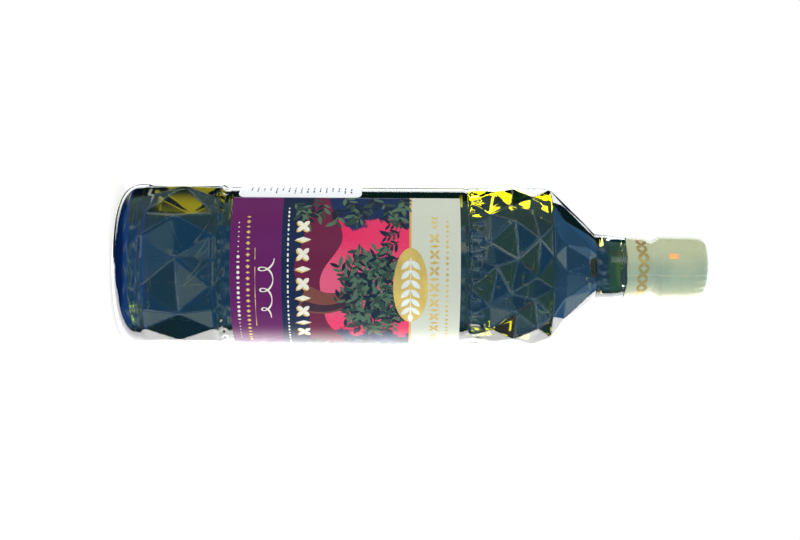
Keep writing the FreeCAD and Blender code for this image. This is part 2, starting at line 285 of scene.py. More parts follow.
def mark_wetted(piece: bpy.types.Object, chosen: Callable[[Array, Array], Array]) -> None:
    """Marks the faces where glass and oil touch; chosen tells them by facing the axis and height."""
    away, height = facing(piece)
    layer = piece.data.attributes.new("wetted", "FLOAT", "FACE")
    layer.data.foreach_set("value", chosen(away <= 1e-7, height).astype(np.float32))


# ------------------------------------------------------------------ materials


class Dressing:
    """A node material under construction, with the few node patterns the finishes share."""

    def __init__(self, name: str) -> None:
        """Starts an empty Principled material."""
        self.material = bpy.data.materials.new(name)
        self.material.use_nodes = True
        self.tree = self.material.node_tree
        self.shader = self.tree.nodes["Principled BSDF"]
        self.output = self.tree.nodes["Material Output"]

    @classmethod
    def of(cls, tree: bpy.types.NodeTree) -> "Dressing":
        """Works on an existing tree, emptied first."""
        made = cls.__new__(cls)
        made.tree = tree
        tree.nodes.clear()
        return made

    def node(self, kind: str, inputs: dict | None = None, **settings) -> bpy.types.Node:
        """Adds a node, sets its properties, and sets or links its inputs by name or number."""
        made = self.tree.nodes.new(kind)
        for key, value in settings.items():
            setattr(made, key, value)
        for key, value in (inputs or {}).items():
            if isinstance(value, bpy.types.NodeSocket):
                self.tree.links.new(value, made.inputs[key])
            else:
                made.inputs[key].default_value = value
        return made

    def math(self, operation: str, *values, clamp: bool = False) -> bpy.types.NodeSocket:
        """One arithmetic step on numbers or sockets."""
        return self.node(
            "ShaderNodeMath", dict(enumerate(values)), operation=operation, use_clamp=clamp
        ).outputs[0]

    def times(self, first, *others) -> bpy.types.NodeSocket:
        """The product of numbers or sockets."""
        for other in others:
            first = self.math("MULTIPLY", first, other)
        return first

    def noise(self, scale: float, detail: float = 2.0, where=None) -> bpy.types.NodeSocket:
        """Noise from 0 to 1, in the piece's own coordinates if no others are given."""
        if where is None:
            where = self.node("ShaderNodeTexCoord").outputs["Object"]
        inputs = {"Vector": where, "Scale": scale, "Detail": detail}
        return self.node("ShaderNodeTexNoise", inputs).outputs["Fac"]

    def span(
        self, value, low: float, high: float, to_low: float = 0.0, to_high: float = 1.0
    ) -> bpy.types.NodeSocket:
        """Maps a value from one range to another, smoothly and clamped."""
        inputs = {0: value, 1: low, 2: high, 3: to_low, 4: to_high}
        return self.node("ShaderNodeMapRange", inputs, interpolation_type="SMOOTHSTEP").outputs[0]

    def window(
        self, value, start: float, full: float, fade: float, end: float
    ) -> bpy.types.NodeSocket:
        """None up to start, one from full to fade and none again from end on."""
        return self.times(self.span(value, start, full), self.span(value, fade, end, 1.0, 0.0))

    def mix(self, share, first, second) -> bpy.types.NodeSocket:
        """Blends two colours, each a socket or a colour."""
        pair = (c if isinstance(c, bpy.types.NodeSocket) else (*c, 1) for c in (first, second))
        inputs = {0: share, **dict(zip((6, 7), pair))}
        return self.node("ShaderNodeMix", inputs, data_type="RGBA").outputs[2]

    def uv(self) -> tuple[bpy.types.NodeSocket, bpy.types.NodeSocket]:
        """The two texture coordinates of the piece's own map."""
        source = self.node("ShaderNodeUVMap", uv_map="UVMap")
        parts = self.node("ShaderNodeSeparateXYZ", {0: source.outputs[0]})
        return parts.outputs[0], parts.outputs[1]

    def bump(self, height, strength: float, distance: float) -> None:
        """Bends the surface's shading by a height."""
        inputs = {"Strength": strength, "Distance": distance, "Height": height}
        made = self.node("ShaderNodeBump", inputs)
        self.tree.links.new(made.outputs[0], self.shader.inputs["Normal"])

    def feed(self, name: str, value) -> None:
        """Sets or links one input of the shader."""
        if isinstance(value, bpy.types.NodeSocket):
            self.tree.links.new(value, self.shader.inputs[name])
        else:
            self.shader.inputs[name].default_value = value

    def glow(self, base: float, light, strength: float) -> None:
        """Makes a matt grey surface that shines by itself."""
        self.feed("Base Color", (base, base, base, 1))
        self.feed("Roughness", 1.0)
        self.feed("Specular IOR Level", 0.0)
        self.feed("Emission Color", light)
        self.feed("Emission Strength", strength)


@dataclass(frozen=True)
class ClearFinish:
    """A clear substance with light taken up along its depth.

    Where glass and oil touch, their surfaces lie one just inside the other. There each has its
    wetted index, so that the pair bends light as glass against oil does and shines as little.
    """

    name: str
    ior: float
    tint: Colour
    depth_colour: Colour
    depth_density: float
    wetted_ior: float
    ripple: float = 0.0
    worn: float = 0.0

    def material(self) -> bpy.types.Material:
        """Builds the material: full transmission, faint streaks and plain absorption inside."""
        make = Dressing(self.name)
        streaks = make.noise(60.0, 3.0)
        paler = tuple(1 - 0.5 * (1 - c) for c in self.tint)
        make.feed("Base Color", make.mix(streaks, self.tint, paler))
        wet = make.node("ShaderNodeAttribute", attribute_name="wetted").outputs["Fac"]
        make.feed("IOR", make.math("MULTIPLY_ADD", wet, self.wetted_ior - self.ior, self.ior))
        polish = make.span(streaks, 0.3, 0.8, 0.0, 0.003)
        if self.worn:
            edge = make.node("ShaderNodeAttribute", attribute_name="edge").outputs["Fac"]
            edge = make.times(edge, make.span(make.noise(55.0, 0.0), 0.40, 0.62, 0.25, 1.0))
            polish = make.math("MULTIPLY_ADD", edge, 0.3, polish)
            make.feed("Transmission Weight", make.math("MULTIPLY_ADD", edge, -self.worn, 1.0))
        else:
            make.feed("Transmission Weight", 1.0)
        make.feed("Roughness", polish)
        if self.ripple:
            make.bump(make.noise(45.0, 1.0), 0.1, self.ripple * MM)
        inputs = {"Color": (*self.depth_colour, 1), "Density": self.depth_density}
        depth = make.node("ShaderNodeVolumeAbsorption", inputs)
        make.tree.links.new(depth.outputs[0], make.output.inputs["Volume"])
        return make.material


@dataclass(frozen=True)
class LabelFinish:
    """Satin printed paper: purple foot, dusk picture field, gold line and pale head."""

    sizes: LabelSizes
    purple: Colour = srgb(93, 6, 80)
    navy: Colour = srgb(18, 32, 70)
    pink: Colour = srgb(218, 8, 80)
    rose: Colour = srgb(214, 92, 124)
    pale: Colour = srgb(192, 197, 182)
    gold: Colour = srgb(196, 158, 84)

    def material(self) -> bpy.types.Material:
        """Builds the print from steps in height and a noisy glow in the picture field."""
        s = self.sizes
        make = Dressing("label_print")
        across, up = make.uv()
        x = make.math("MULTIPLY_ADD", across, 2 * s.half_angle, -s.half_angle)
        x = make.times(x, math.radians(1) * s.radius)
        z = make.times(up, s.tall)
        place = make.node("ShaderNodeCombineXYZ", {0: x, 1: z}).outputs[0]
        ragged = make.noise(0.16, 5.0, place)
        fine = make.noise(0.9, 3.0, place)
        reach = make.math("ABSOLUTE", make.math("ADD", x, 1.5))
        reach = make.math("MULTIPLY_ADD", ragged, 26.0, reach)
        glow = make.span(reach, 37.0, 40.5, 1.0, 0.0)
        low = make.math("MULTIPLY_ADD", ragged, 14.0, z)
        glow = make.times(glow, make.span(low, 38.0, 41.0))
        blush = make.span(make.math("MULTIPLY_ADD", fine, 10.0, z), 36.0, 68.0)
        aside = make.math("MULTIPLY_ADD", fine, 16.0, make.math("ABSOLUTE", x))
        soft = make.span(aside, 12.0, 34.0, 0.85, 0.0)
        rosy = make.math("MAXIMUM", soft, make.times(blush, 0.25))
        pinks = make.mix(rosy, self.pink, self.rose)
        dusk = make.mix(make.span(fine, 0.35, 0.75), self.navy, scaled(self.navy, 1.5))
        picture = make.mix(glow, dusk, pinks)
        colour = make.mix(fine, self.purple, scaled(self.purple, 1.12))
        pale = make.mix(fine, self.pale, scaled(self.pale, 1.05))
        pale_foot = s.gold_foot + s.gold_tall
        for foot, above in ((s.purple_top, picture), (s.gold_foot, self.gold), (pale_foot, pale)):
            colour = make.mix(make.math("GREATER_THAN", z, foot), colour, above)
        make.feed("Base Color", colour)
        make.feed("Roughness", make.span(make.noise(300.0), 0.3, 0.7, 0.3, 0.4))
        make.feed("Specular IOR Level", 0.22)
        make.bump(make.noise(900.0), 0.15, 0.02 * MM)
        return make.material


@dataclass(frozen=True)
class PrintFinish:
    """Ink or foil whose colour comes from the shapes' own colour attribute, with painted sheen patches on
    the foil.
    """

    name: str
    metallic: float
    roughness: float
    # Strength of the painted sheen: slow patches of brighter and darker colour that stand in for
    # reflections.
    painted_sheen: float = 0.0

    def material(self) -> bpy.types.Material:
        """Builds the material with a faint mottling over the attribute's colour, and slow brighter and
        darker patches of painted sheen where asked.
        """
        make = Dressing(self.name)
        tone = make.node("ShaderNodeVertexColor", layer_name="tone").outputs["Color"]
        mottle_and_painted_sheen = make.span(make.noise(700.0, 2.0), 0.3, 0.7, 0.95, 1.03)
        # Painted sheen: slow noise brightens and darkens the colour in patches, as reflections on foil
        # would.
        cloud = make.span(make.noise(70.0, 1.0), 0.35, 0.65, 1 - self.painted_sheen, 1 + self.painted_sheen)
        mottle_and_painted_sheen = make.times(mottle_and_painted_sheen, cloud)
        grey = make.node("ShaderNodeCombineColor", {0: mottle_and_painted_sheen, 1: mottle_and_painted_sheen, 2: mottle_and_painted_sheen}).outputs[0]
        inputs = {0: 1.0, 6: tone, 7: grey}
        mixed = make.node("ShaderNodeMix", inputs, data_type="RGBA", blend_type="MULTIPLY")
        make.feed("Base Color", mixed.outputs[2])
        make.feed("Specular IOR Level", 0.2)
        make.feed("Metallic", self.metallic)
        make.feed("Roughness", self.roughness)
        return make.material


@dataclass(frozen=True)
class PaperFinish:
    """Plain white sticker paper with a faint grain."""

    colour: Colour = srgb(236, 238, 242)

    def material(self) -> bpy.types.Material:
        """Builds the paper."""
        make = Dressing("sticker_paper")
        grain = make.noise(500.0, 3.0)
        make.feed("Base Color", make.mix(grain, self.colour, scaled(self.colour, 0.94)))
        make.feed("Roughness", 0.5)
        make.bump(make.noise(1200.0), 0.2, 0.02 * MM)
        return make.material


@dataclass(frozen=True)
class CapsuleFinish:
    """Satin pearly film: cooler and darker round the front middle, warmer and lighter towards the sides
    and back.
    """

    warm: Colour = srgb(178, 184, 150)
    cool: Colour = srgb(140, 162, 144)

    def material(self) -> bpy.types.Material:
        """Builds the film from a slow change round it and a fine pearl grain."""
        make = Dressing("capsule_film")
        across, _ = make.uv()
        side = make.span(make.math("ABSOLUTE", make.math("SUBTRACT", across, 0.5)), 0.36, 0.5)
        cloud = make.noise(90.0, 3.0)
        base = make.mix(side, self.warm, self.cool)
        pearl = make.mix(make.span(cloud, 0.35, 0.7, 0.0, 0.35), base, scaled(self.warm, 1.15))
        make.feed("Base Color", pearl)
        make.feed("Roughness", make.span(make.noise(250.0), 0.3, 0.7, 0.26, 0.36))
        make.feed("Specular IOR Level", 0.2)
        make.feed("Coat Weight", 0.08)
        make.feed("Coat Roughness", 0.12)
        make.bump(make.noise(160.0, 2.0), 0.25, 0.05 * MM)
        return make.material


# ------------------------------------------------------------------ glass and oil


class Facets:
    """Flat facets between rings of corners, which wander by a formula in their place."""

    swing = 4.5
    rise = 1.6

    def __init__(self, sizes: BottleSizes) -> None:
        """Works out every facet's three corners."""
        s = sizes
        relief = s.lower_r - 0.4
        wide = s.upper_r + 12
        root = s.root_r / math.cos(math.pi / s.upper_count) + 0.2
        many = 2 * s.lower_count
        lower = [
            self.ring(many, 0.0, wide, s.lower_foot - 6, 0),
            self.ring(many, 0.0, relief, s.lower_foot, 0),
            self.ring(s.lower_count, 0.5, s.lower_r, s.lower_mid, 1, 0.6),
            self.ring(many, 0.0, relief, s.lower_head, 2),
            self.ring(many, 0.0, s.lower_r + 0.4, s.lower_head + 3, 2),
        ]
        n, top = s.upper_count, s.upper_foot
        upper = [
            self.ring(n, 0.0, wide, top - 6, 3),
            self.ring(n, 0.0, s.upper_r, top, 3),
            self.ring(n, 0.5, s.upper_r, top + s.upper_row, 4, 1.0),
            self.ring(n, 0.0, s.upper_r, top + 2 * s.upper_row, 5, 1.0),
            self.ring(n, 0.5, s.upper_r, top + 3 * s.upper_row, 6, 1.0),
            self.ring(n, 0.0, s.upper_r, s.shoulder_foot, 7),
            self.ring(n, 0.5, s.break_r, s.break_z, 8),
            self.ring(n, 0.0, root, s.shoulder_head, 9),
            self.ring(n, 0.0, wide, s.shoulder_head + 6, 9),
        ]
        found = []
        for rings in (lower, upper):
            for below, above in zip(rings, rings[1:]):
                found.extend(self.strip(below, above))
        self.corners = np.array(found)

    def ring(self, count: int, offset: float, radius: float, height: float, row: int, wander=0.0) -> Array:
        """Corners of one ring as rows of angle, radius and height."""
        place = np.arange(count)
        swing = wander * self.swing * np.sin(2.4 * place + 1.7 * row)
        rise = wander * self.rise * np.sin(1.9 * place + 0.8 * row + 1.0)
        angle = (place + offset) * 360.0 / count + swing
        return np.stack(np.broadcast_arrays(angle, radius, height + rise), -1)

    @staticmethod
    def strip(below: Array, above: Array) -> list[tuple]:
        """Triangles that join two rings; each step advances the ring whose next corner is first."""
        turn = np.array([360.0, 0.0, 0.0])
        below, above = np.vstack([below, below[0] + turn]), np.vstack([above, above[0] + turn])
        triangles, low, high = [], 0, 0
        while low < len(below) - 1 or high < len(above) - 1:
            lower_next = high >= len(above) - 1 or (
                low < len(below) - 1 and below[low + 1][0] <= above[high + 1][0]
            )
            tip = below[low + 1] if lower_next else above[high + 1]
            triangles.append((below[low], tip, above[high]))
            low, high = (low + 1, high) if lower_next else (low, high + 1)
        return triangles

    def radius(self, angle: Array, height: Array) -> Array:
        """Distance from the axis to the facets, at each row's height and each column's angle.

        Each facet's plane is met by the level ray at every angle, and kept where the meeting
        point has no negative barycentric share of the facet's corners.
        """
        out = np.full((len(height), len(angle)), 1e9)
        turn = np.radians(angle)
        ray = np.stack([np.sin(turn), -np.cos(turn)])
        for corners in self.corners:
            rows = np.nonzero(
                (height >= corners[:, 2].min() - 0.01) & (height <= corners[:, 2].max() + 0.01)
            )[0]
            middle = corners[:, 0].mean()
            columns = np.nonzero(np.abs((angle - middle + 180) % 360 - 180) < 30)[0]
            if not len(rows) or not len(columns):
                continue
            a, b, c = wrapped(corners[:, 0], corners[:, 1], corners[:, 2]) / MM
            normal = np.cross(b - a, c - a)
            slant = normal[0] * ray[0, columns] + normal[1] * ray[1, columns]
            reach = (normal @ a - normal[2] * height[rows][:, None]) / slant[None, :]
            point = np.stack(
                np.broadcast_arrays(
                    reach * ray[0, columns], reach * ray[1, columns], height[rows][:, None]
                ),
                -1,
            )
            size = normal @ normal
            shares = [np.cross(q - p, point - p) @ normal / size for p, q in ((a, b), (b, c), (c, a))]
            inside = (np.minimum(np.minimum(*shares[:2]), shares[2]) > -1e-3) & (reach > 0)
            block = out[np.ix_(rows, columns)]
            out[np.ix_(rows, columns)] = np.where(inside, np.minimum(block, reach), block)
        return out


class Glass:
    """The bottle itself, outside and inside in one closed surface.

    The steps are millimetres between rings on the two faceted bands and on the plain parts.
    """

    columns = 336
    lower_step = 0.74
    upper_step = 0.68
    plain_step = 9.0

    def __init__(self, sizes: BottleSizes) -> None:
        """Keeps the sizes."""
        self.sizes = sizes

    def outside(self) -> Array:
        """The outer profile from the middle of the hollow base up to the mouth."""
        s = self.sizes
        sphere = (s.punt_r**2 + s.punt_depth**2) / (2 * s.punt_depth)
        out = np.linspace(0, s.punt_r - 0.8, 12)
        punt = [(r, math.sqrt(sphere**2 - r * r) - sphere + s.punt_depth, 0) for r in out]
        corners = punt + [
            (s.punt_r + 0.2, 0, 0.8),
            (s.lower_r, 0, s.heel_round),
            (s.lower_r, s.lower_foot, 0),
            (s.lower_r, s.lower_head + 2.0, 0.6),
            (s.panel_r - s.groove, s.panel_foot - 1.8, 0.6),
            (s.panel_r, s.panel_foot, 0.6),
            (s.panel_r, s.panel_head, 0.6),
            (s.panel_r - s.groove, s.panel_head + 1.5, 0.6),
            (s.upper_r, s.panel_head + 3, 0.6),
            (s.upper_r, s.shoulder_foot, 0),
            (s.break_r + 0.5, s.break_z + 0.5, 0),
            (s.root_r, s.shoulder_head, 2.0),
            (s.neck_r, s.neck_z, 0),
            (s.mouth_r, s.mouth_z, 1.2),
            (s.bore_r, s.mouth_z, 1.0),
            (s.bore_r, s.mouth_z - 3, 0),
        ]
        path = rounded_path(corners, 10)
        path = densified(path, self.lower_step, (s.heel_round - 0.1, s.panel_foot + 0.1))
        path = densified(path, self.upper_step, (s.panel_head - 0.1, s.shoulder_head + 3))
        return densified(path, self.plain_step)

    def cavity(self, top: float, grow: float = 0.0) -> Array:
        """The inner profile from a height in the bore down to the middle of the floor."""
        s = self.sizes
        slope = (s.shoulder_head - s.break_z) / (s.break_r - s.root_r)
        start = s.break_z - slope * (s.cavity_r - s.break_r + s.shoulder_wall)
        end = start + slope * (s.cavity_r - s.bore_r)
        corners = [
            (s.bore_r + grow, top, 0),
            (s.bore_r + grow, end + grow * 0.4, s.inside_round),
            (s.cavity_r + grow, start + grow * 0.4, s.inside_round),
            (s.cavity_r + grow, s.floor_z - grow, 6.0 + grow),
            (0, s.floor_z - grow, 0),
        ]
        return densified(rounded_path(corners, 8), 7.0)

    def uneven(self, radius: Array, height: Array, angle: Array) -> Array:
        """The inner radius with the slow unevenness that pressed and blown glass has."""
        turn = np.radians(angle)[None, :]
        wave = np.sin(3 * turn + height / 19) + 0.7 * np.sin(5 * turn - height / 11 + 1)
        fade = np.clip((radius - 12) / 10, 0, 1) * np.clip((height - 16) / 8, 0, 1)
        return radius + 0.16 * wave * fade

    def relief(self, radius: Array, height: Array, angle: Array) -> Array:
        """The outer radius with facets, the beaded grooves and the knurled heel."""
        s = self.sizes
        out = np.minimum(radius, Facets(s).radius(angle, height[:, 0]))
        rows = (height[:, :1] > s.heel_round) & (height[:, :1] < s.shoulder_head + 2)
        soft = (np.roll(out, 1, 1) + 4 * out + np.roll(out, -1, 1)) / 6
        soft[1:-1] = (soft[:-2] + 4 * soft[1:-1] + soft[2:]) / 6
        panel = (height[:, :1] > s.panel_foot - 2.5) & (height[:, :1] < s.panel_head + 1)
        out = np.where(rows & ~panel, soft, out)
        turn = np.radians(angle)[None, :]
        bead = np.exp(-(((height - s.panel_foot + 2.2) / 1.1) ** 2))
        out = out - 0.32 * bead * (0.5 + 0.5 * np.cos(36 * turn)) ** 2
        flute = np.clip(1.6 - np.abs(height - s.panel_head - 4.5) / 2.5, 0, 1)
        out = out - 0.3 * flute * (0.5 + 0.5 * np.cos(2 * s.upper_count * turn)) ** 2
        knurl = np.exp(-(((height - 1.7) / 1.1) ** 2)) * (radius > s.punt_r + 2)
        return out - 0.16 * knurl * (0.5 + 0.5 * np.sin(84 * turn + 2.2 * height))

    def bends(self, radius: Array, height: Array) -> Array:
        """From 0 to 1, how sharply the faceted outside turns at each vertex."""
        s = self.sizes
        across = radius * math.radians(360 / self.columns)
        round_it = np.abs(np.roll(radius, 1, 1) + np.roll(radius, -1, 1) - 2 * radius) / across
        up = np.zeros_like(radius)
        slope = np.diff(radius, axis=0) / np.maximum(np.hypot(np.diff(height, axis=0), 0.05), 0.05)
        up[1:-1] = np.abs(np.diff(slope, axis=0))
        found = np.clip((np.maximum(round_it, up) - 0.05) / 0.08, 0, 1)
        z = height
        inside = (z > s.lower_foot + 1.5) & (z < s.shoulder_head - 1)
        panel = (z > s.lower_head - 0.5) & (z < s.upper_foot + 0.5)
        crease = (np.abs(z - s.shoulder_foot) < 1.2) | (np.abs(z - s.break_z) < 1.0)
        return np.where(inside & ~panel & ~crease, found, 0.0)

    def build(self, material: bpy.types.Material) -> bpy.types.Object:
        """Makes the bottle, with the wall marked where the oil touches it."""
        angle = around(self.columns)
        outer = self.outside()
        inner = self.cavity(self.sizes.mouth_z - 6)
        out_r, out_z = swept(outer, self.columns)
        in_r, in_z = swept(inner, self.columns)
        radius = np.vstack([self.relief(out_r, out_z, angle), self.uneven(in_r, in_z, angle)])
        height = np.vstack([out_z, in_z])
        piece = lathe("glass_look", radius, height)
        edge = self.bends(radius, height)
        edge[len(outer):] = 0
        layer = piece.data.attributes.new("edge", "FLOAT", "POINT")
        layer.data.foreach_set("value", np.append(edge[1:-1].ravel(), [0, 0]).astype(np.float32))
        piece.data.materials.append(material)
        mark_wetted(piece, lambda to_axis, z: to_axis & (z < self.sizes.fill_z + 0.3) & (z > 9))
        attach(piece, "root")
        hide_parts("glass_bottle")
        return piece


class Oil:
    """The oil, reaching just into the glass so that no air gap shows.

    Its edge creeps up the bore by a little more than the level in the middle.
    """

    columns = 192
    into_wall = 0.1
    creep = 0.7

    def __init__(self, glass: Glass) -> None:
        """Keeps the bottle that the oil fills."""
        self.glass = glass

    def build(self, material: bpy.types.Material) -> bpy.types.Object:
        """Makes the oil up to a level with a meniscus, with its skin in the wall marked."""
        s = self.glass.sizes
        wall = self.glass.cavity(s.fill_z + self.creep, self.into_wall)[::-1]
        out = np.linspace(1, 0, 14)[1:]
        edge = (s.bore_r + self.into_wall) * out
        top = s.fill_z + self.creep * np.exp(-(s.bore_r * (1 - out)) / 0.9)
        path = np.vstack([wall, np.stack([edge, top], -1)])
        radius, height = swept(path, self.columns)
        in_wall = np.arange(len(path))[:, None] < len(wall)
        uneven = self.glass.uneven(radius, height, around(self.columns))
        piece = lathe("oil_look", np.where(in_wall, uneven, radius), height)
        piece.data.materials.append(material)
        mark_wetted(piece, lambda _, z: z < s.fill_z - 0.05)
        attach(piece, "root")
        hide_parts("olive_oil")
        return piece


# ------------------------------------------------------------------ printed shapes


class Ink(Enum):
    """Colours of the printed shapes."""

    GOLD = srgb(212, 178, 92)
    CREAM = srgb(226, 224, 208)
    LEAF = srgb(46, 66, 52)
    LEAF_LIT = srgb(78, 104, 80)
    LEAF_DARK = srgb(20, 30, 40)
    DUSK = srgb(18, 28, 58)
    BARK = srgb(120, 66, 54)
    BARK_DARK = srgb(62, 34, 42)
    MAROON = srgb(104, 20, 54)
    GREY = srgb(60, 66, 86)
    BRONZE = srgb(180, 147, 88)
    COPPER = srgb(250, 182, 118)


OLIVE = (Ink.LEAF, Ink.LEAF_DARK, Ink.LEAF_LIT)


@dataclass(frozen=True)
class Shape:
    """One printed shape: an outline round a middle, in millimetres along and up the surface."""

    outline: Array
    ink: Ink
    layer: float = 1.0


def ellipse(x: float, z: float, wide: float, tall: float, turn: float = 0.0, count: int = 28) -> Array:
    """An ellipse of full width and height, turned by degrees."""
    t = np.linspace(0, 2 * math.pi, count, endpoint=False)
    return spun(np.stack([wide / 2 * np.cos(t), tall / 2 * np.sin(t)], -1), x, z, turn)


def leaf(x: float, z: float, long: float, wide: float, turn: float) -> Array:
    """A leaf pointed at both ends: its half width is the sine of the way along, to a power."""
    t = np.linspace(0, 1, 9)
    half = wide / 2 * np.sin(math.pi * t) ** 0.8
    along = long * (t - 0.5)
    low = np.stack([along, -half], -1)
    return spun(np.vstack([low, np.stack([along, half], -1)[-2:0:-1]]), x, z, turn)


def diamond(x: float, z: float, wide: float, tall: float) -> Array:
    """A lozenge."""
    return np.array([(x - wide / 2, z), (x, z - tall / 2), (x + wide / 2, z), (x, z + tall / 2)])


def bar(x: float, z: float, long: float, tall: float, turn: float = 0.0) -> Array:
    """A rule with round ends."""
    t = np.linspace(-math.pi / 2, math.pi / 2, 6)
    cap = np.stack([long / 2 - tall / 2 + tall / 2 * np.cos(t), tall / 2 * np.sin(t)], -1)
    return spun(np.vstack([cap, -cap]), x, z, turn)


def spun(points: Array, x: float, z: float, turn: float) -> Array:
    """Points turned about the origin by degrees and moved."""
    c, s = math.cos(math.radians(turn)), math.sin(math.radians(turn))
    return points @ np.array([[c, s], [-s, c]]) + (x, z)


def pointing(turn: float) -> Array:
    """One step in a direction given in degrees."""
    return np.array([math.cos(math.radians(turn)), math.sin(math.radians(turn))])


def petals(middle: Array, reach: float, long: float, wide: float, turned: float = 0.0) -> list[Array]:
    """Four leaves on the diagonals about a middle; unturned ones point away from it."""
    turns = (45, 135, 225, 315)
    return [leaf(*(middle + reach * pointing(a)), long, wide, a + turned) for a in turns]


def ribbon(centre: Array, width: Array, lanes: int = 1) -> list[Array]:
    """Short joined quads along a curve of a given width, in lanes side by side."""
    way = np.gradient(centre, axis=0)
    side = np.stack([-way[:, 1], way[:, 0]], -1) / np.linalg.norm(way, axis=1)[:, None]
    left, right = centre + side * width[:, None] / 2, centre - side * width[:, None] / 2
    lines = [left + (right - left) * k / lanes for k in range(lanes + 1)]
    return [np.array(q) for a, b in zip(lines, lines[1:]) for q in zip(a, a[1:], b[1:], b)]


def printed(
    name: str,
    shapes: Sequence[Shape],
    radius_at: Callable[[Array], Array],
    material: bpy.types.Material,
) -> bpy.types.Object:
    """Lays shapes on a round surface as thin skins.

    Each outline is filled by rings that shrink towards its middle, close enough together to
    follow the round surface.

    Args:
        name: Name of the piece.
        shapes: What is printed.
        radius_at: Gives the surface's radius from heights, in millimetres.
        material: Material that reads the colour attribute.

    Returns:
        The piece.
    """
    points, faces, tones, base = [], [], [], 0
    for shape in shapes:
        middle = shape.outline.mean(0)
        reach = np.abs(shape.outline - middle).max()
        rings = max(1, math.ceil(reach / RING_STEP))
        share = np.linspace(1, 1 / rings, rings)[:, None, None]
        flat = (middle + (shape.outline - middle) * share).reshape(-1, 2)
        flat = np.vstack([flat, middle])
        lift = radius_at(flat[:, 1]) + LAYER_STEP * shape.layer
        base_r = radius_at(middle[1:])[0]
        points.append(wrapped(np.degrees(flat[:, 0] / base_r), lift, flat[:, 1]))
        count = len(shape.outline)
        quads = grid_faces(rings, count, True) if rings > 1 else np.empty((0, 4), int)
        here = np.arange(count) + (rings - 1) * count
        nxt = (np.arange(count) + 1) % count + (rings - 1) * count
        fan = np.stack([here, nxt, np.full(count, rings * count), np.full(count, -1)], -1)
        both = np.vstack([quads, fan])
        faces.append(np.where(both < 0, -1, both + base))
        tones.append(np.tile((*shape.ink.value, 1.0), (len(flat), 1)))
        base += len(flat)
    piece = lay_mesh(name, np.vstack(points), np.vstack(faces))
    tone = piece.data.color_attributes.new("tone", "FLOAT_COLOR", "POINT")
    tone.data.foreach_set("color", np.vstack(tones).ravel().astype(np.float32))
    outward(piece)
    piece.data.materials.append(material)
    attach(piece, "root")
    return piece


def outward(piece: bpy.types.Object) -> None:
    """Turns over every face whose normal points at the axis."""
    for number in np.nonzero(facing(piece)[0] < 0)[0].tolist():
        piece.data.polygons[number].flip()
    piece.data.update()


